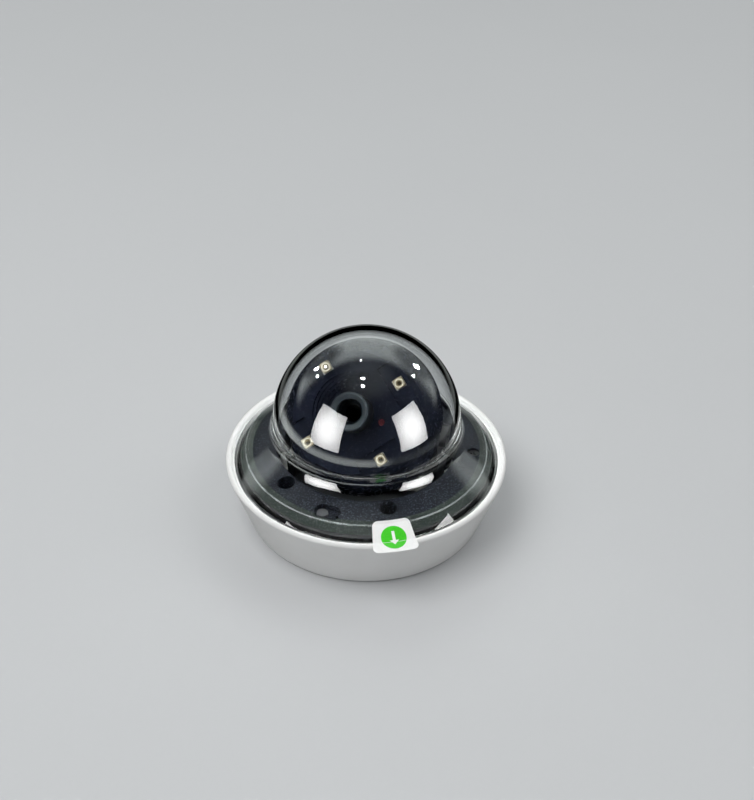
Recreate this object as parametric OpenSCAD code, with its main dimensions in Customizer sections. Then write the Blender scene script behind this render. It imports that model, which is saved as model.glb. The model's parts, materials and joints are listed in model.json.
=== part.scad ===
// Mini dome security camera: a white dish, a clear cover, and a ball head that pans, tilts and rolls inside.
// Millimetres. +Z runs from the mounting face to the top of the dome, and the lens looks towards -Y.

/* [Housing] */
// Diameter of the housing at its lip
housing_d = 110; // [107:0.5:114]
// Height of the lip above the mounting face
housing_h = 26; // [25:0.5:29]
// Width of the rounded lip
lip_w = 2.4; // [2:0.1:3]
// Lean of the outer wall from upright, in degrees
wall_lean = 19; // [16:1:20]
// Thickness of the wall
wall_t = 2.2; // [1.8:0.1:2.4]
// Thickness of the floor
floor_t = 2.5; // [2:0.1:3]
// Distance between the fixing holes, across the lens direction
fix_x = 40; // [38:0.5:42]
// Distance between the fixing holes, along the lens direction
fix_y = 64; // [63:0.5:66]
// Diameter of the fixing holes
fix_d = 3.6; // [3:0.1:4.5]

/* [Cover] */
// Outer diameter of the clear dome
dome_d = 72.4; // [72:0.2:75]
// Height of the dome's centre above the lip
dome_rise = 16.3; // [15.8:0.1:18]
// Thickness of the clear cover
cover_t = 2.2; // [1.8:0.1:2.4]
// Diameter of the crisp edge between the rim band and the cone
edge_d = 94.2; // [92:0.2:96]
// Height of that edge above the lip
edge_rise = 3.1; // [2.5:0.1:4]
// Height above the lip where the cone would meet the neck
corner_rise = 11.5; // [11:0.1:12]
// Radius of the fillet between the cone and the neck
fillet_r = 7; // [4:0.5:7.5]
// Gap between the cover's rim and the lip
rim_gap = 0.9; // [0.5:0.1:1.2]

/* [Ball head] */
// Radius of the ball head
head_r = 31; // [30.6:0.1:31.4]
// Height of the lens axis above the horizon at rest, in degrees
lens_elev = 41; // [20:1:70]
// Distance of the flat face from the ball's centre
face_w = 21.4; // [21:0.1:21.8]
// Radius of the circle that the infrared lamps stand on
led_r = 20.15; // [19.8:0.05:20.3]
// Width of a lamp's square body
led_s = 3.8; // [3.2:0.1:4]
// Diameter of the lens front
lens_d = 14; // [13:0.2:14.4]
// Distance of the lens front from the ball's centre
lens_w = 26; // [25.5:0.1:27]
// Outer radius of the head's neck, which turns in the tilt ring
neck_r = 22.4; // [22:0.1:22.6]

/* [Yoke] */
// Inner distance between the yoke's arms
arm_gap = 54; // [53.6:0.1:54.4]
// Thickness of an arm
arm_t = 2.8; // [2.4:0.1:3]
// Width of an arm at the pivot
arm_w = 10; // [9:0.2:10.6]
// Outer diameter of the turntable
turntable_d = 63; // [62:0.5:63.5]
// Outer radius of the fixed collar that the turntable turns on
collar_r = 23; // [22.5:0.1:23.4]

/* [Network jack] */
// Width of the jack's shell
jack_w = 16.2; // [15.6:0.1:16.6]
// Depth of the jack's shell
jack_l = 15.2; // [14:0.1:15.6]
// Height of the jack's shell
jack_h = 13.2; // [13:0.1:13.8]
// Width of the socket
socket_w = 11.8; // [11.7:0.05:12]
// Height of the socket
socket_h = 8.2; // [8:0.1:8.6]

/* [Hidden] */
$fn = 96;

// How far a cut runs past the face that it leaves
over = 1;
// Running clearance of a shaft in its bore, on the radius
run_gap = 0.05;
// Clearance between flat faces that slide on each other
slide_gap = 0.1;
// Clearance of a piece that drops into its seat
fit_gap = 0.3;

// Housing
lip_r = housing_d / 2;
lip_round = lip_w / 2;
lip_centre_r = lip_r - lip_round;
lip_centre_z = housing_h - lip_round;
foot_round = 2;
foot_centre_r = wall_r(foot_round * (1 - sin(wall_lean))) - foot_round * cos(wall_lean);
rim_r = lip_r - lip_w - rim_gap;
rim_drop = 1;
rim_t = 1.2;
rim_z = housing_h - rim_drop - rim_t;
ledge_w = 0.9;
ledge_z = rim_z - slide_gap;
bore_r = rim_r - ledge_w;
skirt_h = 3.6;
skirt_z = rim_z - skirt_h;
bore_z = skirt_z - fit_gap;
post_h = 1.5;
post_r = 3.2;
pilot_r = 1.25;
pilot_skin = 0.9;
stack_circle_r = 27;
stack_az = [60, 180, 300];
liner_circle_r = 41;
liner_az = [105, 255];
liner_post_drop = 1.5;
liner_post_top = housing_h - liner_post_drop;
gasket_r = 41;
gasket_w = 3;
gasket_h = 1.2;

// Cover
dome_r = dome_d / 2;
dome_z = housing_h + dome_rise;
neck_step = 0.5;
cover_neck_r = dome_r + neck_step;
edge_r = edge_d / 2;
edge_z = housing_h + edge_rise;
corner_z = housing_h + corner_rise;
cone_lean = atan((corner_z - edge_z) / (edge_r - cover_neck_r));
fillet_turn = 90 - cone_lean;
fillet = min(fillet_r, (dome_z - corner_z) / tan(fillet_turn / 2));
fillet_z = corner_z + fillet * tan(fillet_turn / 2);
skirt_r = bore_r - fit_gap;
skirt_in_r = skirt_r - cover_t;
rim_round = 0.8;
seal_h = 1.6;
seal_depth = 1.2;
seal_rise = 1;
seal_z = skirt_z + seal_rise;

// Seal sticker, bent from the cover's edge over the lip
sticker_az = 31;
sticker_turn = 17;
sticker_t = 0.35;
sticker_lift = 0.12;
sticker_hold = 0.9;
sticker_overhang = 3.3;
sticker_droop = 0.5;

// Liner
liner_t = 1.6;
liner_gap = 0.4;
liner_cover_gap = 1.3;
liner_r = skirt_in_r - liner_gap;
shelf_r = 43.5;
shelf_rise = 1.5;
shroud_r = 33.4;
shroud_drop = 6.5;
liner_round = 0.8;
well_r = 3.3;
well_t = 0.8;
liner_head_r = 2.3;
liner_head_h = 1.2;

// Pocket with the reset button and the microphone hole
pocket_y = -41.5;
pocket_l = 10.2;
pocket_w = 6.6;
pocket_wall = 1.2;
pocket_floor_t = 1.4;
pocket_sink = 1.5;
button_x = -1.9;
button_r = 2.1;
button_gap = 0.1;
button_flange = 0.6;
button_flange_t = 0.5;
button_proud = 0.7;
button_travel = 0.4;
mic_x = 3.6;
mic_hole_r = 0.75;
mic_r = 1.7;
mic_h = 1.3;
boot_t = 0.5;
switch_s = 4.5;
switch_h = 1.7;
switch_stem_r = 1;
switch_board_l = 13;
switch_board_w = 9.6;
switch_board_t = 1;
switch_board_x = 0.6;
peg_r = 0.8;
peg_drop = 3.2;
peg_end_gap = 0.5;
peg_side_gap = 0.2;
peg_x = (button_x + mic_x) / 2;
peg_y = pocket_w / 2 + peg_side_gap;
peg_places = [[-pocket_l / 2 - peg_end_gap, 0], [peg_x, peg_y], [peg_x, -peg_y]];

// Main board and what stands on it
board_z = floor_t + post_h;
board_t = 1.6;
board_top = board_z + board_t;
board_r = 32.5;
board_tail_w = 30;
board_tail_l = 46.5;
jack_y = 32.3;
jack_wall = 0.8;
jack_socket_floor = 2.1;
contact_count = 8;
contact_pitch = 1.02;
contact_w = 0.4;
contact_l = 9;
contact_h = 0.5;
chip_s = 12;
chip_x = -9.6;
chip_y = -5;
chip_h = 1.2;
pad_t = 0.5;
sink_base = 1.1;
sink_h = 2.9;
fin_count = 5;
fin_t = 0.9;
memory_s = 8;
memory_x = 8.5;
memory_y = -8.5;
memory_h = 1;
flash_l = 6;
flash_w = 5;
flash_x = 10;
flash_y = 4;
flash_h = 0.8;
transformer_l = 13;
transformer_w = 8.6;
transformer_h = 4;
transformer_y = 12.6;
cap_r = 3.15;
cap_h = 11;
cap_x = 11.8;
cap_y = 36.5;
socket_x = 1.5;
board_socket_l = 5;
board_socket_w = 7;
board_socket_h = 2.2;

// Pan bearing, turntable and yoke
foot_h = 2;
bearing_z = board_top + foot_h;
bearing_t = 1.6;
bearing_in_r = 20.5;
bearing_out_r = 31.4;
collar_z = bearing_z + bearing_t;
turntable_z = collar_z + slide_gap;
turntable_t = 2.5;
turntable_top = turntable_z + turntable_t;
retainer_z = turntable_top + slide_gap;
retainer_t = 1.3;
retainer_r = 25.5;
web_z = board_top + chip_h + pad_t + sink_h + fit_gap;
web_t = 0.8;
cable_hole_r = 5;
stack_head_r = 2.4;
stack_head_h = 1.2;
stack_shank_r = 1.2;
retainer_screw_az = [0, 120, 240];
retainer_screw_circle = 21.8;
retainer_head_r = 1.1;
retainer_head_h = 0.7;
retainer_shank_r = 0.6;
retainer_screw_l = 2.6;
arm_in = arm_gap / 2;
arm_out = arm_in + arm_t;
arm_root_w = 16;
arm_root_h = 12;
pivot_r = 2;
pivot_head_r = 4.5;
pivot_head_h = 2.4;
pivot_thread_r = 1.45;
pivot_thread_l = 2.4;
washer_r = 4.2;
washer_t = 1.1;
ribbon_w = 5;
ribbon_t = 0.3;
ribbon_over = 0.5;
ribbon_end_gap = 0.3;
ribbon_corner = 1;
arm_socket_h = 4.3;
arm_socket_w = 7;
arm_socket_t = 1.6;

// Tilt ring and the ball head. Their heights run along the lens axis from the ball's centre.
ring_half = 5;
ring_r = 25;
boss_r = 4.6;
boss_out = arm_in - washer_t - slide_gap;
head_t = 1.8;
brim_gap = 1;
brim_w = ring_half + brim_gap;
neck_end = 8;
neck_in_r = neck_r - head_t;
groove_w = 1.4;
groove_depth = 0.6;
groove_at = 5.6;
retaining_r = 24.4;
roll_washer_t = 0.4;
face_t = 2.4;
face_in_r = 16.2;
dish_r = 15;
dish_foot_r = 8.2;
dish_depth = 3.8;
dish_t = 1.6;
dish_steps = 6;
lens_hole_gap = 0.35;
lens_hole_r = lens_d / 2 + lens_hole_gap;
pocket_chord = 16.1;
pocket_span = 17;
pocket_depth = 1.4;
window_gap = 0.25;
led_board_t = 1;
led_board_r = 22;
led_h = 1.6;
led_dome_r = 1.4;
led_dome_rise = 1.1;
led_count = 4;
sensor_eye_x = 11;
sensor_eye_y = -1;
sensor_eye_r = 1.2;
sensor_eye_gap = 0.1;
sensor_eye_h = 2.6;

// Lens
bezel_lip = 0.1;
bezel_r = lens_d / 2 + bezel_lip;
bezel_h = 1.6;
bezel_mouth_r = 6.4;
bezel_throat_r = 4.9;
bezel_slope_h = 0.9;
bezel_round = 0.3;
barrel_r = lens_d / 2;
thread_r = 6;
barrel_front = lens_w - bezel_h;
barrel_step = 17.2;
barrel_end = 7.5;
glass_r = 4.9;
glass_bore_gap = 0.05;
glass_sink = 2.4;
glass_seat = barrel_front - glass_sink;
glass_h = 1.9;
glass_sag = 0.8;
inner_bore_r = 3.9;
element_r = 3.85;
element_h = 1.6;
element_sag = 0.5;
element_lift = 1.5;
element_pitch = 4.4;
element_count = 3;

// Lens holder, filter and sensor
holder_l = 24.4;
holder_w = 14.4;
holder_h = 7;
holder_neck_r = 8.2;
holder_neck_top = 16;
filter_pitch = 6.6;
filter_l = 14.8;
filter_w = 9.6;
filter_t = 1.4;
filter_at = 3.6;
filter_window = 6;
filter_glass_t = 0.5;
cavity_l = 22;
cavity_w = 10.2;
cavity_low_w = 8.8;
cavity_top = 5.3;
motor_l = 8;
motor_w = 4.6;
motor_h = 5;
motor_gap = 0.2;
sensor_board_s = 26.4;
sensor_board_t = 1.2;
sensor_l = 9.6;
sensor_w = 8;
sensor_h = 1.2;
sensor_post_x = 10.5;
sensor_post_y = 9.3;
sensor_post_r = 1.8;
sensor_screw_r = 0.8;
sensor_head_r = 1.6;
sensor_head_h = 1;
sensor_screw_l = 5;

// Rear cap
cap_flange_t = 1.6;
cap_foot_r = 16.4;
cap_end_r = 13.5;
cap_depth = 5.6;
cap_screw_circle = 18.9;
cap_boss_r = 2;
cap_head_r = 1.9;
cap_head_h = 1.2;
cap_shank_r = 1;
cap_screw_l = 6;
cap_screw_az = [0, 120, 240];

// Radius of the outer wall at a height, along the line that touches the lip's round
function wall_r(z) =
    lip_centre_r + lip_round / cos(wall_lean) - (lip_centre_z - z) * tan(wall_lean);

// Radius of the inner wall at a height
function wall_in_r(z) = wall_r(z) - wall_t / cos(wall_lean);

// Height of the cone's inner face at a radius
function cone_in_z(r) = edge_z - cover_t / cos(cone_lean) - (r - edge_r) * tan(cone_lean);

// Height of the liner's top at a radius, outside its shelf
function liner_slope_z(r) = cone_in_z(r) - liner_cover_gap;

// Height of the liner's shelf at a radius
function shelf_z(r) =
    liner_slope_z(shelf_r) + shelf_rise * (shelf_r - r) / (shelf_r - shroud_r);

// Points of an arc in the plane
function arc(x, y, r, from, to, steps = 8) =
    [for (i = [0:steps]) let (a = from + (to - from) * i / steps) [x + r * cos(a), y + r * sin(a)]];

// A place on a circle round Z, with its angle counted from -Y towards +X
function place(r, az) = [r * sin(az), -r * cos(az), 0];

pocket_floor_z = shelf_z(-pocket_y) - pocket_sink;
pocket_under_z = pocket_floor_z - pocket_floor_t;
switch_board_z = pocket_under_z - peg_drop - switch_board_t;
switch_board_top = switch_board_z + switch_board_t;
shroud_z = housing_h - shroud_drop;
fixing_places = [for (sx = [-1, 1], sy = [-1, 1]) [sx * fix_x / 2, sy * fix_y / 2, 0]];
led_board_w = face_w - face_t - led_board_t;
led_base_w = face_w - face_t;
led_top_w = led_base_w + led_h;
sensor_post_places = [for (sx = [-1, 1], sy = [-1, 1]) [sx * sensor_post_x, sy * sensor_post_y, 0]];

// A round bar or a hole, from one height to another
module bar(r, from, to) {
    translate([0, 0, from]) cylinder(r = r, h = to - from);
}

// A ring with square edges
module ring(out_r, in_r, from, to) {
    difference() {
        bar(out_r, from, to);
        bar(in_r, from - over, to + over);
    }
}

// A block centred on its place in X and Y, from one height to another
module block(l, w, from, to) {
    translate([-l / 2, -w / 2, from]) cube([l, w, to - from]);
}

// An upright slot or a slab with round ends
module oblong(l, w, from, to) {
    translate([0, 0, from]) linear_extrude(to - from) union() {
        square([l - w, w], center = true);
        for (s = [-1, 1]) translate([s * (l - w) / 2, 0]) circle(d = w);
    }
}

// A screw pointing down with its head above z = 0 and a cross recess
module screw(head_r, head_h, shank_r, length) {
    difference() {
        bar(head_r, 0, head_h);
        for (turn = [0, 90]) rotate(turn) block(head_r, head_r / 4, head_h / 2, head_h + over);
    }
    bar(shank_r, -length, 0);
}

// The frame of the ball head: its Z is the lens axis and its origin the ball's centre
module in_head() {
    translate([0, 0, dome_z]) rotate([90 - lens_elev, 0, 0]) children();
}

module housing() {
    color("white") difference() {
        union() {
            rotate_extrude() polygon(concat(
                [[0, 0]],
                arc(foot_centre_r, foot_round, foot_round, -90, -wall_lean),
                arc(lip_centre_r, lip_centre_z, lip_round, -wall_lean, 180, 16),
                [[lip_r - lip_w, ledge_z], [bore_r, ledge_z], [bore_r, bore_z]],
                [[wall_in_r(bore_z), bore_z], [wall_in_r(floor_t), floor_t], [0, floor_t]]
            ));
            for (az = stack_az) translate(place(stack_circle_r, az)) bar(post_r, floor_t / 2, board_z);
            for (az = liner_az) translate(place(liner_circle_r, az)) bar(post_r, floor_t / 2, liner_post_top);
        }
        for (p = fixing_places) translate(p) bar(fix_d / 2, -over, floor_t + over);
        for (az = stack_az) translate(place(stack_circle_r, az)) bar(pilot_r, pilot_skin, board_z + over);
        for (az = liner_az) translate(place(liner_circle_r, az))
            bar(pilot_r, liner_post_top / 2, liner_post_top + over);
        ring(gasket_r + gasket_w, gasket_r, -over, gasket_h);
        translate([0, lip_r, 0])
            block(jack_w + 2 * fit_gap, lip_r, board_top - fit_gap, board_top + jack_h + fit_gap);
    }
}

module back_gasket() {
    color("dimgray") ring(gasket_r + gasket_w - slide_gap, gasket_r + slide_gap, 0, gasket_h);
}

module main_board() {
    color("darkgreen") difference() {
        union() {
            bar(board_r, board_z, board_top);
            translate([-board_tail_w / 2, 0, board_z]) cube([board_tail_w, board_tail_l, board_t]);
        }
        for (az = stack_az) translate(place(stack_circle_r, az))
            bar(pilot_r + slide_gap, board_z - over, board_top + over);
        difference() {
            bar(2 * lip_r, board_z - over, board_top + over);
            bar(wall_in_r(board_z) - fit_gap, board_z - 2 * over, board_top + 2 * over);
        }
    }
}

module board_chips() {
    color("#202124") {
        translate([chip_x, chip_y, 0]) block(chip_s, chip_s, board_top, board_top + chip_h);
        translate([memory_x, memory_y, 0]) block(memory_s, memory_s, board_top, board_top + memory_h);
        translate([flash_x, flash_y, 0]) block(flash_l, flash_w, board_top, board_top + flash_h);
    }
}

module thermal_pad() {
    color("lightblue") translate([chip_x, chip_y, board_top + chip_h]) block(chip_s, chip_s, 0, pad_t);
}

module heat_sink() {
    fin_step = (chip_s - fin_t) / (fin_count - 1);
    color("silver") translate([chip_x, chip_y, board_top + chip_h + pad_t]) {
        block(chip_s, chip_s, 0, sink_base);
        for (i = [0:fin_count - 1])
            translate([i * fin_step - (chip_s - fin_t) / 2, 0, 0]) block(fin_t, chip_s, 0, sink_h);
    }
}

module network_transformer() {
    color("#17181a") translate([0, transformer_y, 0])
        block(transformer_l, transformer_w, board_top, board_top + transformer_h);
}

module capacitors() {
    color("#2b2f3a") for (s = [-1, 1]) translate([s * cap_x, cap_y, 0])
        bar(cap_r, board_top, board_top + cap_h);
}

module network_jack() {
    color("silver") translate([0, jack_y + jack_l / 2, 0]) difference() {
        block(jack_w, jack_l, board_top, board_top + jack_h);
        translate([0, (jack_wall + over) / 2, 0]) block(
            socket_w, jack_l - jack_wall + over,
            board_top + jack_socket_floor, board_top + jack_socket_floor + socket_h
        );
    }
}

module jack_contacts() {
    color("gold") for (i = [0:contact_count - 1])
        translate([(i - (contact_count - 1) / 2) * contact_pitch, jack_y + jack_wall + contact_l / 2, 0])
            block(contact_w, contact_l, board_top + jack_socket_floor, board_top + jack_socket_floor + contact_h);
}

module board_socket() {
    color("ivory") translate([socket_x, 0, 0])
        block(board_socket_l, board_socket_w, board_top, board_top + board_socket_h);
}

module stack_screws() {
    color("silver") for (az = stack_az) translate(place(stack_circle_r, az))
        translate([0, 0, collar_z - stack_head_h])
            screw(stack_head_r, stack_head_h, stack_shank_r, collar_z - stack_head_h - pilot_skin - slide_gap);
}

module pan_bearing() {
    color("#1b1c1f") difference() {
        union() {
            ring(bearing_out_r, bearing_in_r, bearing_z, collar_z);
            ring(collar_r, bearing_in_r, bearing_z, retainer_z);
            ring(collar_r, cable_hole_r, web_z, web_z + web_t);
            for (az = stack_az) translate(place(stack_circle_r, az)) bar(post_r, board_top, collar_z);
        }
        for (az = stack_az) translate(place(stack_circle_r, az)) {
            bar(pilot_r, board_top - over, collar_z);
            bar(stack_head_r + slide_gap, collar_z - stack_head_h, collar_z + over);
        }
        for (az = retainer_screw_az) translate(place(retainer_screw_circle, az))
            bar(retainer_shank_r + run_gap, retainer_z - retainer_screw_l, retainer_z + over);
    }
}

module pan_retainer() {
    color("#1b1c1f") difference() {
        ring(retainer_r, bearing_in_r, retainer_z, retainer_z + retainer_t);
        for (az = retainer_screw_az) translate(place(retainer_screw_circle, az)) {
            bar(retainer_shank_r + run_gap, retainer_z - over, retainer_z + retainer_t);
            bar(retainer_head_r + slide_gap, retainer_z + retainer_t - retainer_head_h,
                retainer_z + retainer_t + over);
        }
    }
}

module retainer_screws() {
    color("silver") for (az = retainer_screw_az) translate(place(retainer_screw_circle, az))
        translate([0, 0, retainer_z + retainer_t - retainer_head_h])
            screw(retainer_head_r, retainer_head_h, retainer_shank_r, retainer_screw_l - retainer_head_h);
}

// The liner's section: slope under the cone, shelf, round inner edge and shroud
liner_points = concat(
    [[liner_r, liner_slope_z(liner_r)], [shelf_r, liner_slope_z(shelf_r)]],
    arc(shroud_r + liner_round, shelf_z(shroud_r) - liner_round, liner_round, 90, 180, 6),
    [[shroud_r, shroud_z], [shroud_r + liner_t, shroud_z]],
    [[shroud_r + liner_t, shelf_z(shroud_r) - 2 * liner_t]],
    [[shelf_r, liner_slope_z(shelf_r) - liner_t], [liner_r, liner_slope_z(liner_r) - liner_t]]
);

// Everything below the liner's top face, to trim what hangs under it
module under_liner() {
    rotate_extrude() polygon(concat(
        [[0, 0], [liner_r, 0]],
        [[liner_r, liner_slope_z(liner_r)], [shelf_r, liner_slope_z(shelf_r)]],
        [[shroud_r + liner_round, shelf_z(shroud_r)], [0, shelf_z(shroud_r)]]
    ));
}

module inner_liner() {
    color("#141517") difference() {
        union() {
            rotate_extrude() polygon(liner_points);
            intersection() {
                under_liner();
                union() {
                    for (p = fixing_places) translate(p) bar(well_r + well_t, floor_t, housing_h + edge_rise);
                    for (az = liner_az) translate(place(liner_circle_r, az))
                        bar(post_r, liner_post_top, housing_h + edge_rise);
                    translate([0, pocket_y, 0]) oblong(
                        pocket_l + 2 * pocket_wall, pocket_w + 2 * pocket_wall,
                        pocket_under_z, housing_h + edge_rise
                    );
                }
            }
            for (p = peg_places) translate([p[0], pocket_y + p[1], 0])
                bar(peg_r, switch_board_top, pocket_under_z + pocket_floor_t / 2);
        }
        for (p = fixing_places) translate(p) bar(well_r, floor_t - over, dome_z);
        for (az = liner_az) translate(place(liner_circle_r, az)) {
            bar(pilot_r + slide_gap, liner_post_top - over, dome_z);
            bar(liner_head_r + slide_gap, liner_post_top + liner_t, dome_z);
        }
        translate([0, pocket_y, 0]) oblong(pocket_l, pocket_w, pocket_floor_z, dome_z);
        translate([button_x, pocket_y, 0]) bar(button_r + button_gap, pocket_under_z - over, dome_z);
        translate([mic_x, pocket_y, 0]) bar(mic_hole_r, pocket_under_z - over, dome_z);
    }
}

module liner_screws() {
    color("#303236") for (az = liner_az) translate(place(liner_circle_r, az))
        translate([0, 0, liner_post_top + liner_t])
            screw(liner_head_r, liner_head_h, stack_shank_r, liner_t + liner_post_top / 3);
}

module switch_board() {
    color("darkgreen") translate([switch_board_x, pocket_y, 0])
        block(switch_board_l, switch_board_w, switch_board_z, switch_board_top);
}

module reset_switch() {
    color("silver") translate([button_x, pocket_y, switch_board_top]) {
        block(switch_s, switch_s, 0, switch_h);
        bar(switch_stem_r, 0, peg_drop - button_flange_t - button_travel - slide_gap);
    }
}

module microphone() {
    color("#c9b26a") translate([mic_x, pocket_y, 0]) bar(mic_r, switch_board_top, switch_board_top + mic_h);
}

module microphone_boot() {
    color("#26272a") translate([mic_x, pocket_y, 0]) difference() {
        bar(mic_r + boot_t, switch_board_top, pocket_under_z);
        bar(mic_r + slide_gap / 2, switch_board_top - over, switch_board_top + mic_h);
        bar(mic_hole_r, switch_board_top, pocket_under_z + over);
    }
}

module reset_button() {
    color("#2a2b2e") translate([button_x, pocket_y, 0]) {
        bar(button_r, pocket_under_z - button_flange_t, pocket_floor_z + button_proud);
        bar(button_r + button_flange, pocket_under_z - button_flange_t - slide_gap, pocket_under_z - slide_gap);
    }
}

// One arm of the yoke, seen along X: wide at its root, narrow and round at the pivot
module arm_outline() {
    translate([0, dome_z]) circle(d = arm_w);
    polygon([
        [-arm_root_w / 2, turntable_top - turntable_t / 2], [arm_root_w / 2, turntable_top - turntable_t / 2],
        [arm_root_w / 2, turntable_top], [arm_w / 2, turntable_top + arm_root_h],
        [arm_w / 2, dome_z], [-arm_w / 2, dome_z],
        [-arm_w / 2, turntable_top + arm_root_h], [-arm_root_w / 2, turntable_top]
    ]);
}

module turntable() {
    color("#1b1c1f") difference() {
        union() {
            ring(turntable_d / 2, collar_r + run_gap, turntable_z, turntable_top);
            for (s = [-1, 1]) translate([s > 0 ? arm_in : -arm_out, 0, 0])
                rotate([90, 0, 90]) linear_extrude(arm_t) arm_outline();
        }
        translate([0, 0, dome_z]) rotate([0, 90, 0]) bar(pivot_r + run_gap, -arm_out - over, arm_out + over);
    }
}

// The flat cable rises from the board through the bearing's web, crosses the retainer and climbs the arm
module ribbon_cable() {
    low = board_top + board_socket_h + ribbon_end_gap;
    bridge = retainer_z + retainer_t + ribbon_over;
    wall = arm_in - slide_gap;
    end = dome_z - boss_r - arm_socket_h - slide_gap;
    color("#26201a") rotate([90, 0, 0]) translate([0, 0, -ribbon_w / 2]) linear_extrude(ribbon_w) polygon([
        [socket_x - ribbon_t / 2, low], [socket_x + ribbon_t / 2, low],
        [socket_x + ribbon_t / 2, bridge - ribbon_t - ribbon_corner],
        [socket_x + ribbon_t / 2 + ribbon_corner, bridge - ribbon_t],
        [wall - ribbon_corner, bridge - ribbon_t], [wall, bridge + ribbon_corner - ribbon_t],
        [wall, end], [wall - ribbon_t, end], [wall - ribbon_t, bridge + ribbon_corner],
        [wall - ribbon_corner - ribbon_t / 2, bridge],
        [socket_x + ribbon_corner, bridge], [socket_x - ribbon_t / 2, bridge - ribbon_corner]
    ]);
}

module arm_socket() {
    top = dome_z - boss_r - slide_gap;
    color("ivory") translate([arm_in - arm_socket_t, -arm_socket_w / 2, top - arm_socket_h])
        cube([arm_socket_t, arm_socket_w, arm_socket_h]);
}

module tilt_ring() {
    color("#1b1c1f") in_head() difference() {
        union() {
            bar(ring_r, -ring_half, ring_half);
            rotate([0, 90, 0]) bar(boss_r, -boss_out, boss_out);
        }
        bar(neck_r + run_gap, -ring_half - over, ring_half + over);
        rotate([0, 90, 0]) bar(pivot_thread_r + run_gap, -boss_out - over, boss_out + over);
    }
}

module tilt_washers() {
    color("silver") in_head() for (s = [-1, 1]) rotate([0, s * 90, 0])
        ring(washer_r, pivot_r + run_gap, boss_out, arm_in - slide_gap);
}

module pivot_screws() {
    shoulder = arm_out + slide_gap;
    color("#26272a") in_head() for (s = [-1, 1]) rotate([0, s * 90, 0]) {
        bar(pivot_thread_r, boss_out - pivot_thread_l, boss_out);
        translate([0, 0, shoulder]) screw(pivot_head_r, pivot_head_h, pivot_r, shoulder - boss_out);
    }
}

// The dish round the lens falls in steps from the face to the lens hole
dish_points = concat(
    [[face_in_r, face_w], [dish_r, face_w]],
    [for (i = [0:dish_steps - 1], low = [0, 1]) [
        dish_r - (dish_r - dish_foot_r) * (i + low) / dish_steps,
        face_w - dish_depth * (i + 1) / dish_steps
    ]],
    [[lens_hole_r, face_w - dish_depth], [lens_hole_r, face_w - dish_depth - dish_t]],
    [[dish_foot_r + dish_t / 2, face_w - dish_depth - dish_t], [face_in_r, face_w - face_t]]
);

module head_shell() {
    in_r = head_r - head_t;
    color("#101114") in_head() difference() {
        union() {
            difference() {
                intersection() {
                    sphere(r = head_r);
                    bar(head_r + over, brim_w, face_w);
                }
                intersection() {
                    sphere(r = in_r);
                    bar(in_r, brim_w + head_t, led_base_w);
                }
                bar(face_in_r - dish_t / 4, brim_w + head_t, face_w + over);
            }
            bar(neck_r, -neck_end, brim_w + head_t / 2);
            rotate_extrude() polygon(dish_points);
        }
        difference() {
            bar(neck_in_r, -neck_end - over, brim_w + 2 * head_t);
            for (az = cap_screw_az) translate(place(cap_screw_circle, az)) bar(cap_boss_r, -neck_end, 0);
        }
        ring(neck_r + over, neck_r - groove_depth, -groove_at - groove_w, -groove_at);
        for (i = [0:led_count - 1]) rotate(360 / led_count * (i + 0.5)) {
            translate([pocket_chord, -pocket_span / 2, face_w - pocket_depth])
                cube([head_r, pocket_span, head_r]);
            translate([led_r, 0, 0]) block(
                led_s + 2 * window_gap, led_s + 2 * window_gap, led_base_w - over, face_w + over
            );
        }
        translate([sensor_eye_x, sensor_eye_y, 0])
            bar(sensor_eye_r + sensor_eye_gap, face_w - dish_depth - dish_t, face_w + over);
        for (az = cap_screw_az) translate(place(cap_screw_circle, az))
            bar(cap_shank_r + run_gap, -neck_end - over, cap_screw_l - neck_end - cap_flange_t + slide_gap);
    }
    color("#101114") in_head() difference() {
        for (p = sensor_post_places) translate(p) bar(sensor_post_r, 0, face_w - face_t - dish_t);
        for (p = sensor_post_places) translate(p)
            bar(sensor_screw_r + run_gap, -over, sensor_screw_l - sensor_board_t);
    }
}

module roll_retainer() {
    color("silver") in_head()
        ring(retaining_r, neck_r - groove_depth + run_gap, -groove_at - groove_w + run_gap, -groove_at - run_gap);
}

module roll_washer() {
    color("silver") in_head()
        ring(retaining_r, neck_r + run_gap, -ring_half - slide_gap - roll_washer_t, -ring_half - slide_gap);
}

module led_board() {
    color("#e8e6df") in_head() ring(led_board_r, face_in_r + slide_gap, led_board_w, led_base_w);
}

module led_packages() {
    color("#efe6c8") in_head() for (i = [0:led_count - 1]) rotate(360 / led_count * (i + 0.5))
        translate([led_r, 0, 0]) block(led_s, led_s, led_base_w, led_top_w);
}

module led_domes() {
    cap_sphere_r = (led_dome_r * led_dome_r + led_dome_rise * led_dome_rise) / (2 * led_dome_rise);
    color("lightyellow") in_head() for (i = [0:led_count - 1]) rotate(360 / led_count * (i + 0.5))
        translate([led_r, 0, led_top_w]) intersection() {
            translate([0, 0, led_dome_rise - cap_sphere_r]) sphere(r = cap_sphere_r);
            bar(led_dome_r, 0, led_dome_rise + over);
        }
}

module light_sensor() {
    low = face_w - dish_depth - dish_t / 2;
    color("#7d4a4a") in_head() translate([sensor_eye_x, sensor_eye_y, 0])
        bar(sensor_eye_r, low, low + sensor_eye_h);
}

module lens_barrel() {
    color("#0c0d0f") in_head() rotate_extrude() polygon([
        [glass_r + glass_bore_gap, barrel_front], [glass_r + glass_bore_gap, glass_seat],
        [inner_bore_r, glass_seat], [inner_bore_r, barrel_end],
        [thread_r, barrel_end], [thread_r, barrel_step],
        [barrel_r, barrel_step], [barrel_r, barrel_front]
    ]);
}

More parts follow.
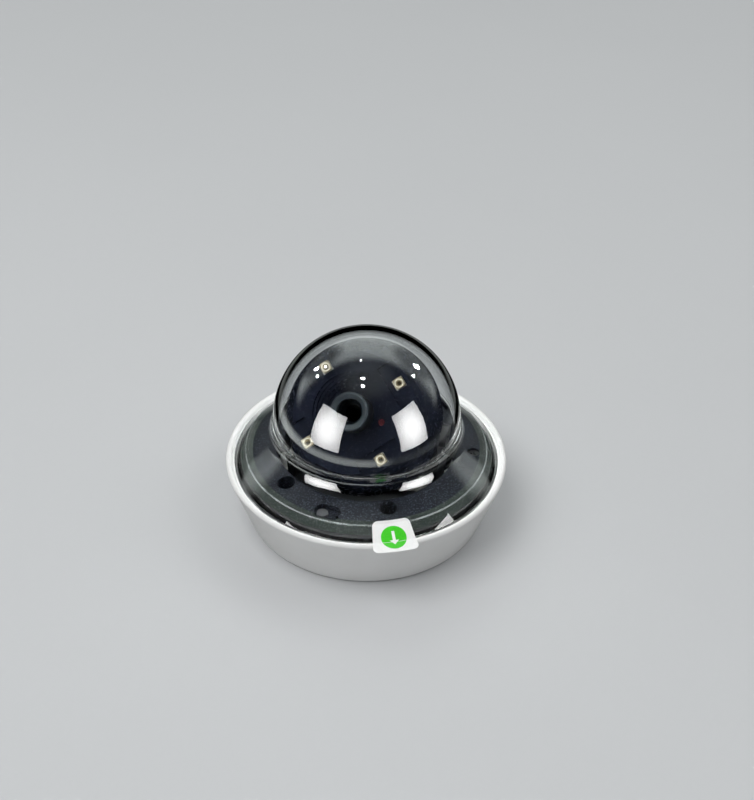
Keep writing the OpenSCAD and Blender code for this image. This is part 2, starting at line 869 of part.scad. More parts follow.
module lens_bezel() {
    color("#5f6f80") in_head() rotate_extrude() polygon(concat(
        [[bezel_throat_r, barrel_front], [bezel_r, barrel_front]],
        arc(bezel_r - bezel_round, lens_w - bezel_round, bezel_round, 0, 90, 4),
        [[bezel_mouth_r, lens_w], [bezel_throat_r, lens_w - bezel_slope_h]]
    ));
}

// A round glass with one face domed by a given rise
module glass(r, h, sag) {
    curve = (r * r + sag * sag) / (2 * sag);
    intersection() {
        bar(r, 0, h);
        translate([0, 0, h - curve]) sphere(r = curve);
    }
}

module front_glass() {
    color("#1c2530") in_head() translate([0, 0, glass_seat]) glass(glass_r, glass_h, glass_sag);
}

module lens_elements() {
    color("#1c2530") in_head() for (i = [0:element_count - 1])
        translate([0, 0, barrel_end + element_lift + i * element_pitch])
            glass(element_r, element_h, element_sag);
}

module lens_holder() {
    color("#1f2023") in_head() difference() {
        union() {
            block(holder_l, holder_w, 0, holder_h);
            bar(holder_neck_r, cavity_top, holder_neck_top);
        }
        block(cavity_l, cavity_low_w, -over, cavity_top);
        block(cavity_l, cavity_w, filter_at - slide_gap, cavity_top);
        bar(thread_r + run_gap, cavity_top - over, holder_neck_top + over);
    }
}

module filter_motor() {
    color("#2d2f33") in_head() translate([0, holder_w / 2 + motor_gap + motor_w / 2, 0])
        block(motor_l, motor_w, 0, motor_h);
}

module sensor_board() {
    color("darkgreen") in_head() difference() {
        block(sensor_board_s, sensor_board_s, -sensor_board_t, 0);
        for (p = sensor_post_places) translate(p)
            bar(sensor_screw_r + slide_gap, -sensor_board_t - over, over);
    }
}

module image_sensor() {
    color("#3a3f55") in_head() block(sensor_l, sensor_w, 0, sensor_h);
}

module sensor_screws() {
    color("silver") in_head() for (p = sensor_post_places) translate(p)
        translate([0, 0, -sensor_board_t]) mirror([0, 0, 1])
            screw(sensor_head_r, sensor_head_h, sensor_screw_r, sensor_screw_l - slide_gap);
}

module rear_cap() {
    flange_w = -neck_end - cap_flange_t;
    color("#101114") in_head() difference() {
        rotate_extrude() polygon([
            [0, flange_w - cap_depth], [cap_end_r, flange_w - cap_depth],
            [cap_foot_r, flange_w], [neck_r, flange_w], [neck_r, -neck_end],
            [cap_foot_r - cap_flange_t, -neck_end],
            [cap_end_r - cap_flange_t, flange_w - cap_depth + cap_flange_t],
            [0, flange_w - cap_depth + cap_flange_t]
        ]);
        for (az = cap_screw_az) translate(place(cap_screw_circle, az))
            bar(cap_shank_r + run_gap, flange_w - over, -neck_end + over);
    }
}

module head_screws() {
    flange_w = -neck_end - cap_flange_t;
    color("silver") in_head() for (az = cap_screw_az) translate(place(cap_screw_circle, az))
        translate([0, 0, flange_w]) mirror([0, 0, 1])
            screw(cap_head_r, cap_head_h, cap_shank_r, cap_screw_l);
}

module filter_frame() {
    color("#222327") in_head() translate([filter_pitch / 2, 0, 0]) difference() {
        block(filter_l, filter_w, filter_at, filter_at + filter_t);
        for (s = [-1, 1]) translate([s * filter_pitch / 2, 0, 0])
            block(filter_window, filter_window, filter_at - over, filter_at + filter_t + over);
    }
}

module filter_glass() {
    color("#c04060") in_head() for (x = [0, filter_pitch]) translate([x, 0, 0])
        block(filter_window, filter_window, filter_at + filter_glass_t, filter_at + 2 * filter_glass_t);
}

// The cover's section from its skirt to the top of the neck
cover_points = concat(
    [[skirt_in_r, skirt_z], [skirt_r, skirt_z], [skirt_r, seal_z]],
    [[skirt_r - seal_depth, seal_z], [skirt_r - seal_depth, seal_z + seal_h], [skirt_r, seal_z + seal_h]],
    [[skirt_r, rim_z], [rim_r, rim_z]],
    arc(rim_r - rim_round, rim_z + rim_t - rim_round / 2, rim_round, 0, 45, 4),
    [[edge_r, edge_z]],
    arc(cover_neck_r + fillet, fillet_z, fillet, 180 + fillet_turn, 180, 12),
    [[cover_neck_r, dome_z], [cover_neck_r - cover_t, dome_z]],
    arc(cover_neck_r + fillet, fillet_z, fillet + cover_t, 180, 180 + fillet_turn, 12),
    [[skirt_in_r, cone_in_z(skirt_in_r)]]
);

module dome_cover() {
    color([0.8, 0.86, 0.9, 0.3]) {
        rotate_extrude() polygon(cover_points);
        difference() {
            translate([0, 0, dome_z]) sphere(r = dome_r);
            translate([0, 0, dome_z]) sphere(r = dome_r - cover_t);
            bar(dome_r + over, 0, dome_z);
        }
    }
}

module cover_seal() {
    color("#303236") ring(bore_r - run_gap, skirt_r - seal_depth, seal_z, seal_z + seal_h);
}

// The sticker's section: held on the cone's edge, over the lip, then a drooping tab
module seal_sticker() {
    hold_r = edge_r - sticker_hold;
    hold_z = edge_z + sticker_hold * tan(cone_lean);
    line = [
        [hold_r, hold_z + sticker_lift], [edge_r, edge_z + sticker_lift],
        [lip_centre_r, housing_h + sticker_lift], [lip_r + sticker_overhang, housing_h - sticker_droop]
    ];
    top = [for (i = [len(line) - 1:-1:0]) line[i] + [0, sticker_t]];
    color("white") rotate(sticker_az - 90 - sticker_turn / 2) rotate_extrude(angle = sticker_turn)
        polygon(concat(line, top));
}

housing();
back_gasket();
main_board();
board_chips();
thermal_pad();
heat_sink();
network_transformer();
capacitors();
network_jack();
jack_contacts();
board_socket();
stack_screws();
pan_bearing();
pan_retainer();
retainer_screws();
inner_liner();
liner_screws();
switch_board();
reset_switch();
microphone();
microphone_boot();
reset_button();
turntable();
ribbon_cable();
arm_socket();
tilt_ring();
tilt_washers();
pivot_screws();
head_shell();
roll_retainer();
roll_washer();
led_board();
led_packages();
led_domes();
light_sensor();
lens_barrel();
lens_bezel();
front_glass();
lens_elements();
lens_holder();
filter_motor();
sensor_board();
image_sensor();
sensor_screws();
rear_cap();
head_screws();
filter_frame();
filter_glass();
dome_cover();
cover_seal();
seal_sticker();
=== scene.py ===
"""Looks of the mini dome security camera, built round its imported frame.

Everything is in metres, +Z up, and the lens looks towards -Y at rest.
"""
import json
from math import atan, cos, degrees, pi, radians, sin, sqrt, tan

import bmesh
import bpy
from mathutils import Matrix, Vector


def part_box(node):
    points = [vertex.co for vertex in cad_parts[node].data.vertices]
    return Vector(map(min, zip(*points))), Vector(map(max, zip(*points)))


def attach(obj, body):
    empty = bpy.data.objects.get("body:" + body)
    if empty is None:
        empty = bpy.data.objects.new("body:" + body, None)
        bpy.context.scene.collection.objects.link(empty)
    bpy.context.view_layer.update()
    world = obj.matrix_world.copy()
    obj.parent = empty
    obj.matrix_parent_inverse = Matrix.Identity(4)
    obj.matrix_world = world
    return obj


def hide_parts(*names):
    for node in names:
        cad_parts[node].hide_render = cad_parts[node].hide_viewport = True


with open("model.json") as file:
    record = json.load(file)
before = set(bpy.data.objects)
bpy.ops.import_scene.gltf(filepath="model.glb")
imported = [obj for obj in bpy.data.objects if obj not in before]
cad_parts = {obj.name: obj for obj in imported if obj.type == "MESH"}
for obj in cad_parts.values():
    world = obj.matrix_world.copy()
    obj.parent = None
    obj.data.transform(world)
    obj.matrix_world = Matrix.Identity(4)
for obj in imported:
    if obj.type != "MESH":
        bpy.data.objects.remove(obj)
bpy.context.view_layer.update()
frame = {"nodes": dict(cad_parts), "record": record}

MM = 0.001
nodes = frame["nodes"]

# Camera: its focal length, turn and place, seen from the middle of the lip
PHOTO_H = 800
FOCAL_PX = 1350
OBJECT_TURN = radians(19)
CAMERA_PITCH = radians(36.49)
CAMERA_ROLL = radians(-1.11)
CAMERA_PLACE = Vector((3.80, -414.57, 331.77)) * MM
CAMERA_NEAR = 10 * MM
CAMERA_FAR = 50
SENSOR_MM = 36
LIP_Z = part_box("housing")[1].z

# Cover, as the solid has it, with the steps of its rounds
LIP_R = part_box("housing")[1].x
COVER_T = 2.2 * MM
DOME_R = 36.2 * MM
DOME_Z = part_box("dome_cover")[1].z - DOME_R
NECK_R = DOME_R + 0.5 * MM
EDGE_R = 47.1 * MM
EDGE_Z = LIP_Z + 3.1 * MM
CORNER_Z = LIP_Z + 11.5 * MM
FILLET_R = 7 * MM
RIM_R = 51.7 * MM
RIM_Z = 23.8 * MM
RIM_T = 1.2 * MM
RIM_ROUND = 0.8 * MM
SKIRT_R = 50.5 * MM
SKIRT_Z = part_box("dome_cover")[0].z
SEAL_RISE = 1 * MM
SEAL_H = 1.6 * MM
SEAL_DEPTH = 1.2 * MM
CONE_LEAN = atan((CORNER_Z - EDGE_Z) / (EDGE_R - NECK_R))
EDGE_ROUND = 0.12 * MM
NECK_STEP = 0.1 * MM
COVER_TURNS = 256
DOME_STEPS = 72
FILLET_STEPS = 20
RIM_STEPS = 6
EDGE_LINE_W = 0.22 * MM
EDGE_LINE_RISE = 0.02 * MM
COVER_SHARP = radians(20)

# Ball head: its axis runs through the lens. A lamp's corner cut is a share of its side
LENS_ELEV = radians(41)
HEAD = Matrix.Translation((0, 0, DOME_Z)) @ Matrix.Rotation(radians(90) - LENS_ELEV, 4, "X")
LAMP_CIRCLE = 20.15 * MM
LAMP_S = 3.8 * MM
LAMP_BASE = 19.0 * MM
LAMP_H = 1.6 * MM
LAMP_COUNT = 4
LAMP_TURNS = 48
LAMP_CUT = 0.12
LENS_SEAT = 21.95 * MM

# Seal sticker
STICKER_TURN = radians(31)
STICKER_SPREAD = radians(17)
STICKER_T = 0.35 * MM
STICKER_LIFT = 0.12 * MM
STICKER_HOLD = 0.9 * MM
STICKER_OVERHANG = 3.3 * MM
STICKER_DROOP = 0.5 * MM
STICKER_CORNER = 2.0 * MM
STICKER_ROWS = 44
STICKER_COLUMNS = 40
STICKER_SHARP = radians(40)
STICKER_SOFT = 0.1 * MM
STICKER_SOFT_FROM = radians(50)
LIP_HALF = 1.2 * MM

# Print on the sticker: its middle, measured from the sticker's inner end, its rows and its thickness
PRINT_PLACE = 7.0 * MM
PRINT_COLUMNS = 12
PRINT_WELD = 0.001 * MM
DISC_R = 4.7 * MM
DISC_ROWS = 28
DISC_T = 0.02 * MM
ARROW_T = 0.04 * MM

# Where the liner's flat shelf turns into its outer slope
LINER_SHELF_R = 43.5 * MM

# The angle between two faces from which their edge looks sharp
SHARP = radians(28)

# Studio: azimuths and elevations in degrees, distances and lamp sizes in metres
FLOOR_R = 3
FLOOR_TURNS = 96
FLOOR_DROP = 0.05 * MM
VIEW_TURN = 19.5
WINDOW_ELEVATION = 13
WINDOW_DISTANCE = 0.9
WINDOW_H = 0.745
WINDOW_WATTS = 28
WINDOW_RIM = 0.45
WINDOW_FADE = (0.1, 0.62)
SPOT_DISTANCE = 1.2

# Name, azimuth, elevation, distance, side and watts
PANELS = [
    ("key_panel", -40, 62, 1.6, 1.1, 14),
    ("fill_panel", 120, 50, 1.8, 1.2, 5),
]

# Name, azimuth and width
WINDOWS = [
    ("left_window", -28.5, 0.60),
    ("right_window", 75.5, 0.59),
]

# Name, azimuth, elevation, width, height and watts
SPOTS = [
    ("spot_top", -24, 83, 0.075, 0.075, 5),
    ("spot_top_low", 1, 75, 0.065, 0.065, 4),
    ("spot_left", -103, 31, 0.075, 0.075, 4.5),
    ("spot_left_low", -91, 35, 0.065, 0.05, 3),
    ("spot_left_high", -103, 41.5, 0.05, 0.05, 2.4),
    ("spot_right", 146.6, 31.6, 0.09, 0.11, 7),
    ("spot_right_high", 131, 39.3, 0.07, 0.05, 3.5),
    ("spot_back", -143, 69, 0.04, 0.05, 0.8),
]

# What polished surfaces mirror of the room: its directions as azimuth and elevation, how bright each
# part is, and the spans of a direction's cosine over which it comes or goes
FRONT = (VIEW_TURN, 15)
HIGH_FRONT = (VIEW_TURN, 68)
UP = (0, 90)
LEFT_FRONT = (-30, 0)
SHADE_LEFT = (-116, 27)
SHADE_RIGHT = (155, 28)
WALL_LEVEL = 1.4
WALL_SPAN = (-0.32, -0.05)
WALL_TOP_SPAN = (-0.03, 0.06)
SHADED_LEFT = 0.2
SHADED_RIGHT = 0.3
SHADE_SPAN = (0.9135, 0.985)
CEILING_LEVEL = 0.22
CEILING_SPAN = (0.8, 0.99)
STRIP_LEVEL = 3.2
STRIP_LOW_SPAN = (-0.42, -0.38)
STRIP_HIGH_SPAN = (-0.33, -0.2)
STRIP_SIDE_SPAN = (0.1, 0.6)
STRIP_FAR_SIDE = 0.1


def camera_axes():
    """The camera's right, up and forward directions in the object's frame."""
    turn = Matrix.Rotation(OBJECT_TURN, 3, "Z")
    right = turn @ Vector((1, 0, 0))
    up = turn @ Vector((0, sin(CAMERA_PITCH), cos(CAMERA_PITCH)))
    forward = turn @ Vector((0, cos(CAMERA_PITCH), -sin(CAMERA_PITCH)))
    rolled_right = cos(CAMERA_ROLL) * right - sin(CAMERA_ROLL) * up
    rolled_up = sin(CAMERA_ROLL) * right + cos(CAMERA_ROLL) * up
    return rolled_right, rolled_up, forward


def make_camera():
    """The camera that took the view, placed round the object."""
    data = bpy.data.cameras.new("photo_camera")
    data.sensor_fit = "VERTICAL"
    data.sensor_height = SENSOR_MM
    data.lens = SENSOR_MM * FOCAL_PX / PHOTO_H
    data.clip_start = CAMERA_NEAR
    data.clip_end = CAMERA_FAR
    right, up, forward = camera_axes()
    axes = Matrix((right, up, -forward)).transposed().to_4x4()
    place = Matrix.Rotation(OBJECT_TURN, 4, "Z") @ CAMERA_PLACE + Vector((0, 0, LIP_Z))
    camera = bpy.data.objects.new("photo_camera", data)
    camera.matrix_world = Matrix.Translation(place) @ axes
    bpy.context.scene.collection.objects.link(camera)
    bpy.context.scene.camera = camera


# Materials


def map_range(tree, value, span, levels, smooth=False):
    """A value carried from a span to levels, in a straight line or with soft ends."""
    made = tree.nodes.new("ShaderNodeMapRange")
    if smooth:
        made.interpolation_type = "SMOOTHSTEP"
    for key, number in zip(("From Min", "From Max", "To Min", "To Max"), (*span, *levels)):
        made.inputs[key].default_value = number
    tree.links.new(value, made.inputs["Value"])
    return made.outputs["Result"]


class Finish:
    """One procedural material: a Principled shader, and short calls that add the nodes that feed it."""

    def __init__(self, name, color, roughness, **sockets):
        self.material = bpy.data.materials.new(name)
        self.material.use_nodes = True
        self.tree = self.material.node_tree
        self.shader = self.tree.nodes["Principled BSDF"]
        self.output = self.tree.nodes["Material Output"]
        self.set("Base Color", (*color, 1))
        self.set("Roughness", roughness)
        for key, value in sockets.items():
            self.set(key.replace("_", " "), value)
        self.place = self.tree.nodes.new("ShaderNodeTexCoord").outputs["Object"]

    def set(self, socket, value):
        self.shader.inputs[socket].default_value = value

    def node(self, kind, **inputs):
        made = self.tree.nodes.new(kind)
        for key, value in inputs.items():
            self.feed(made.inputs[key.replace("_", " ")], value)
        return made

    def feed(self, socket, value):
        """Sets a socket to a plain value, or links it to an output."""
        if isinstance(value, bpy.types.NodeSocket):
            self.tree.links.new(value, socket)
        else:
            socket.default_value = value

    def noise(self, per_mm, detail=3, roughness=0.55, stretch=None):
        """Fine noise, with so many grains to a millimetre."""
        place = self.place
        if stretch:
            place = self.node("ShaderNodeMapping", Vector=place, Scale=stretch).outputs["Vector"]
        made = self.node(
            "ShaderNodeTexNoise", Vector=place, Scale=per_mm / MM, Detail=detail, Roughness=roughness
        )
        return made.outputs["Fac"]

    def ramp(self, value, low, high, at=(0.3, 0.7)):
        """A value spread from low to high between two places."""
        return map_range(self.tree, value, at, (low, high))

    def tint(self, value, low, high):
        """A colour between two colours, plain ones or outputs, by a value from 0 to 1."""
        made = self.tree.nodes.new("ShaderNodeMix")
        made.data_type = "RGBA"
        self.feed(made.inputs["Factor"], value)
        ends = [s for s in made.inputs if s.type == "RGBA"]
        for socket, color in zip(ends, (low, high)):
            self.feed(socket, (*color, 1) if isinstance(color, tuple) else color)
        return [s for s in made.outputs if s.type == "RGBA"][0]

    def drive(self, socket, output):
        """Links an output to one of the shader's own sockets."""
        self.feed(self.shader.inputs[socket], output)

    def bump(self, height, depth_mm, strength=1.0):
        made = self.node("ShaderNodeBump", Strength=strength, Distance=depth_mm * MM, Height=height)
        self.drive("Normal", made.outputs["Normal"])

    def gloss(self, per_mm, detail, low, high):
        """Roughness that drifts between two values."""
        self.drive("Roughness", self.ramp(self.noise(per_mm, detail), low, high))

    def grain(self, per_mm, depth_mm, rough_low, rough_high, strength=1.0):
        """Moulded grain: a fine bump, and gloss that varies with slower noise."""
        slower = 12
        self.bump(self.noise(per_mm, 2), depth_mm, strength)
        self.gloss(per_mm / slower, 3, rough_low, rough_high)
        return self

    def mottle(self, per_mm, low, high):
        """A base colour that drifts between two near colours."""
        value = self.ramp(self.noise(per_mm, 4), 0, 1)
        self.drive("Base Color", self.tint(value, low, high))
        return self

    def mix_in(self, factor, other):
        """Shows another shader in place of this one, as far as the factor says."""
        mix = self.tree.nodes.new("ShaderNodeMixShader")
        for socket, value in zip(mix.inputs, (factor, self.shader.outputs[0], other.outputs[0])):
            self.feed(socket, value)
        self.feed(self.output.inputs["Surface"], mix.outputs[0])

    def clear(self, color):
        """A clear moulding. Rays from lamps pass it straight, so that they light what is inside."""
        self.set("Transmission Weight", 1)
        path = self.tree.nodes.new("ShaderNodeLightPath")
        through = self.node("ShaderNodeBsdfTransparent", Color=(*color, 1))
        self.mix_in(path.outputs["Is Shadow Ray"], through)
        return self


def housing_white():
    f = Finish("housing_white", (0.84, 0.84, 0.83), 0.42, Specular_IOR_Level=0.45)
    f.mottle(0.08, (0.83, 0.83, 0.815), (0.86, 0.86, 0.85))
    return f.grain(5, 0.012, 0.36, 0.5, 0.5).material


def clear_cover():
    """Polished polycarbonate."""
    f = Finish("clear_cover", (0.95, 0.97, 0.97), 0.0, IOR=1.58)
    return f.clear((0.93, 0.95, 0.95)).material


def painted_edge_highlight():
    """The cover's crisp edge: a pale matt line, a painted highlight that stands in for the light line along
    the edge.
    """
    f = Finish("painted_edge_highlight", (0.62, 0.66, 0.66), 0.5)
    f.mottle(2, (0.5, 0.54, 0.54), (0.72, 0.76, 0.76))
    f.bump(f.noise(6, 2), 0.01, 0.5)
    f.drive("Alpha", f.ramp(f.noise(0.3, 3), 0.08, 0.4))
    return f.material


def liner_black():
    """Grained plastic with pale specks, nearly black on the flat shelf. Its outer slope is painted lighter
    and greenish-grey: painted light, where the slope catches more light than the shelf.
    """
    f = Finish("liner_black", (0.006, 0.0065, 0.009), 0.5, Specular_IOR_Level=0.08)
    flat = f.node("ShaderNodeVectorMath", Vector=f.place)
    flat.operation = "MULTIPLY"
    flat.inputs[1].default_value = (1, 1, 0)
    reach = f.tree.nodes.new("ShaderNodeVectorMath")
    reach.operation = "LENGTH"
    f.feed(reach.inputs[0], flat.outputs["Vector"])
    # Painted light: a mask for the outer slope, which gets a lighter, greenish-grey colour than the shelf.
    lit_slope_mask = f.ramp(reach.outputs["Value"], 0, 1, (LINER_SHELF_R - 0.3 * MM, LINER_SHELF_R + 0.1 * MM))
    speckle = f.ramp(f.noise(1.5, 3, 0.7), 0, 1, (0.52, 0.68))
    shelf = f.tint(speckle, (0.0035, 0.004, 0.0065), (0.04, 0.047, 0.06))
    painted_lit_slope = f.tint(speckle, (0.018, 0.022, 0.020), (0.05, 0.058, 0.054))
    f.drive("Base Color", f.tint(lit_slope_mask, shelf, painted_lit_slope))
    return f.grain(3.2, 0.04, 0.42, 0.62, 0.9).material


def head_black():
    f = Finish("head_black", (0.004, 0.005, 0.009), 0.26, Specular_IOR_Level=0.12)
    return f.grain(9, 0.001, 0.2, 0.3, 0.2).material


def yoke_black():
    f = Finish("yoke_black", (0.009, 0.0095, 0.011), 0.5, Specular_IOR_Level=0.15)
    return f.grain(4, 0.02, 0.42, 0.58, 0.6).material


def rubber_black():
    f = Finish("rubber_black", (0.02, 0.02, 0.021), 0.7)
    f.mottle(0.9, (0.018, 0.018, 0.019), (0.03, 0.03, 0.031))
    return f.grain(3, 0.02, 0.62, 0.8, 0.7).material


def board_green():
    f = Finish("board_green", (0.012, 0.09, 0.035), 0.34)
    lines = f.node("ShaderNodeTexBrick", Vector=f.place, Scale=0.55 / MM)
    lines.inputs["Mortar Size"].default_value = 0.06
    lines.inputs["Color1"].default_value = (0.012, 0.085, 0.033, 1)
    lines.inputs["Color2"].default_value = (0.016, 0.11, 0.045, 1)
    lines.inputs["Mortar"].default_value = (0.03, 0.17, 0.07, 1)
    f.drive("Base Color", lines.outputs["Color"])
    f.bump(lines.outputs["Fac"], 0.03, 0.5)
    return f.material


def board_white():
    f = Finish("board_white", (0.72, 0.71, 0.66), 0.4)
    f.mottle(0.5, (0.70, 0.69, 0.64), (0.76, 0.75, 0.71))
    return f.grain(6, 0.01, 0.34, 0.46, 0.5).material


def chip_black():
    f = Finish("chip_black", (0.02, 0.02, 0.022), 0.55)
    return f.grain(8, 0.012, 0.48, 0.62, 0.7).material


def cap_sleeve():
    f = Finish("cap_sleeve", (0.02, 0.025, 0.05), 0.3)
    f.mottle(0.4, (0.018, 0.022, 0.045), (0.03, 0.036, 0.07))
    return f.grain(1.5, 0.01, 0.24, 0.36, 0.4).material


def pad_blue():
    f = Finish("pad_blue", (0.2, 0.42, 0.6), 0.6)
    f.mottle(1.5, (0.18, 0.38, 0.55), (0.26, 0.48, 0.66))
    return f.grain(3, 0.02, 0.55, 0.7).material


def bare_aluminium():
    f = Finish("bare_aluminium", (0.70, 0.71, 0.72), 0.35, Metallic=1.0)
    f.bump(f.noise(2, 3, stretch=(1, 0.04, 1)), 0.01, 0.6)
    return f.material


def steel():
    f = Finish("steel", (0.60, 0.59, 0.57), 0.25, Metallic=1.0)
    f.gloss(0.9, 4, 0.16, 0.34)
    f.bump(f.noise(7, 2), 0.004, 0.5)
    return f.material


def dark_screw():
    f = Finish("dark_screw", (0.035, 0.035, 0.037), 0.35, Metallic=0.6)
    return f.grain(6, 0.008, 0.28, 0.42, 0.5).material


def jack_metal():
    f = Finish("jack_metal", (0.58, 0.57, 0.55), 0.3, Metallic=1.0)
    f.bump(f.noise(1.2, 4, stretch=(1, 0.1, 1)), 0.01, 0.5)
    f.gloss(0.3, 3, 0.22, 0.4)
    return f.material


def contact_gold():
    f = Finish("contact_gold", (0.80, 0.55, 0.18), 0.25, Metallic=1.0)
    f.bump(f.noise(5, 3), 0.004, 0.5)
    return f.material


def socket_ivory():
    f = Finish("socket_ivory", (0.72, 0.67, 0.55), 0.45)
    f.mottle(1, (0.70, 0.65, 0.53), (0.76, 0.71, 0.6))
    return f.grain(6, 0.01, 0.4, 0.52, 0.5).material


def ribbon_black():
    f = Finish("ribbon_black", (0.03, 0.025, 0.02), 0.34)
    stripes = f.node("ShaderNodeTexWave", Vector=f.place, Scale=0.32 / MM)
    stripes.bands_direction = "Y"
    value = f.ramp(stripes.outputs["Fac"], 0, 1, (0.45, 0.55))
    f.drive("Base Color", f.tint(value, (0.022, 0.018, 0.014), (0.045, 0.036, 0.026)))
    f.bump(value, 0.02, 0.4)
    return f.material


def mic_metal():
    f = Finish("mic_metal", (0.66, 0.55, 0.3), 0.3, Metallic=1.0)
    f.bump(f.noise(4, 3), 0.006, 0.5)
    return f.material


def led_cream():
    f = Finish("led_cream", (0.19, 0.16, 0.10), 0.38, Specular_IOR_Level=0.5)
    f.mottle(1.2, (0.15, 0.125, 0.08), (0.24, 0.20, 0.13))
    return f.grain(8, 0.01, 0.32, 0.45, 0.5).material


def led_clear():
    color = (0.98, 0.96, 0.88)
    return Finish("led_clear", color, 0.0, IOR=1.41).clear(color).material


def lens_glass():
    color = (0.42, 0.50, 0.60)
    return Finish("lens_glass", color, 0.0, IOR=1.5).clear(color).material


def filter_red():
    color = (0.30, 0.06, 0.10)
    return Finish("filter_red", color, 0.0, IOR=1.5).clear(color).material


def sensor_dark():
    f = Finish("sensor_dark", (0.008, 0.009, 0.016), 0.15, Specular_IOR_Level=0.6)
    f.mottle(3, (0.006, 0.007, 0.014), (0.014, 0.013, 0.026))
    f.bump(f.noise(9, 2), 0.002, 0.3)
    return f.material


def eye_red():
    f = Finish("eye_red", (0.035, 0.008, 0.009), 0.12, Coat_Weight=0.3)
    f.mottle(2.5, (0.024, 0.006, 0.007), (0.055, 0.012, 0.014))
    f.bump(f.noise(4, 2), 0.004, 0.3)
    return f.material


def barrel_black():
    f = Finish("barrel_black", (0.006, 0.0065, 0.008), 0.42, Metallic=0.2)
    return f.grain(6, 0.01, 0.36, 0.5, 0.5).material


def bezel_blue():
    f = Finish("bezel_blue", (0.014, 0.019, 0.024), 0.4, Metallic=0.15)
    f.mottle(0.8, (0.012, 0.017, 0.021), (0.018, 0.024, 0.030))
    return f.grain(7, 0.008, 0.34, 0.46, 0.5).material


def sticker_white():
    f = Finish("sticker_white", (0.88, 0.88, 0.87), 0.38)
    f.mottle(1.5, (0.86, 0.86, 0.85), (0.90, 0.90, 0.89))
    return f.grain(4, 0.008, 0.32, 0.44, 0.5).material


def sticker_green():
    f = Finish("sticker_green", (0.045, 0.58, 0.012), 0.34)
    f.mottle(1.8, (0.04, 0.55, 0.011), (0.06, 0.63, 0.016))
    return f.grain(5, 0.006, 0.28, 0.4, 0.5).material


def button_grey():
    f = Finish("button_grey", (0.03, 0.03, 0.033), 0.4)
    return f.grain(5, 0.012, 0.34, 0.46, 0.6).material


def lamp_die():
    f = Finish("lamp_die", (0.07, 0.055, 0.035), 0.25, Metallic=0.6)
    cells = f.node("ShaderNodeTexBrick", Vector=f.place, Scale=3 / MM)
    f.bump(cells.outputs["Fac"], 0.01, 0.5)
    return f.material


def lamp_cup():
    f = Finish("lamp_cup", (0.95, 0.92, 0.84), 0.25, Metallic=0.3)
    f.bump(f.noise(5, 2), 0.006, 0.4)
    return f.material


MAKERS = [
    housing_white, clear_cover, painted_edge_highlight, liner_black, head_black, yoke_black, rubber_black,
    board_green, board_white, chip_black, cap_sleeve, pad_blue, bare_aluminium, steel, dark_screw,
    jack_metal, contact_gold, socket_ivory, ribbon_black, mic_metal, led_cream, led_clear, eye_red,
    barrel_black, bezel_blue, lens_glass, filter_red, sensor_dark, sticker_white, button_grey,
    sticker_green, lamp_die, lamp_cup,
]


def dress_nodes():
    """Makes every finish, and gives each CAD node the one made for its slot."""
    made = {maker.__name__: maker() for maker in MAKERS}
    for row in frame["record"]["subparts"]:
        materials = nodes[row["node"]].data.materials
        materials.clear()
        materials.append(made[row["material_slot"]])
    return made


# Meshes


def add_piece(name, mesh, body, slot, material, *replaced):
    """A piece of the scene on its body. It takes the place of the CAD nodes named last."""
    piece = bpy.data.objects.new(name, mesh)
    bpy.context.scene.collection.objects.link(piece)
    mesh.materials.append(material)
    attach(piece, body)
    if replaced:
        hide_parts(*replaced)
    return piece


def to_mesh(name, bm, sharp=SHARP):
    """Ends a bmesh: outward normals, smooth faces, and sharp edges where the faces turn."""
    bmesh.ops.recalc_face_normals(bm, faces=bm.faces)
    for face in bm.faces:
        face.smooth = True
    for edge in bm.edges:
        if len(edge.link_faces) == 2 and edge.calc_face_angle(0) > sharp:
            edge.smooth = False
    mesh = bpy.data.meshes.new(name)
    bm.to_mesh(mesh)
    bm.free()
    return mesh


def ring(bm, place, r, z, count, first=0.0):
    """A circle of vertices at one height, whose first one is turned by so many steps."""
    turns = [2 * pi * (i + first) / count for i in range(count)]
    return [bm.verts.new(place @ Vector((r * cos(a), r * sin(a), z))) for a in turns]


def lathe(bm, profile, turns, place=Matrix.Identity(4)):
    """Turns a closed outline of (r, z) points about Z. Points on the axis become one vertex."""
    rings = [ring(bm, place, r, z, turns if r else 1) for r, z in profile]
    for a, b in zip(rings, rings[1:] + rings[:1]):
        if len(a) == 1 and len(b) == 1:
            continue
        for i in range(turns):
            j = (i + 1) % turns
            corners = [a[i % len(a)], a[j % len(a)], b[j % len(b)], b[i % len(b)]]
            bm.faces.new(list(dict.fromkeys(corners)))


def arc(x, y, r, start, end, steps):
    """Points of an arc, with its angles in degrees."""
    turns = [radians(start + (end - start) * i / steps) for i in range(steps + 1)]
    return [(x + r * cos(a), y + r * sin(a)) for a in turns]


def cone_in_z(r):
    """Height of the cone's inner face at a radius."""
    return EDGE_Z - COVER_T / cos(CONE_LEAN) - (r - EDGE_R) * tan(CONE_LEAN)


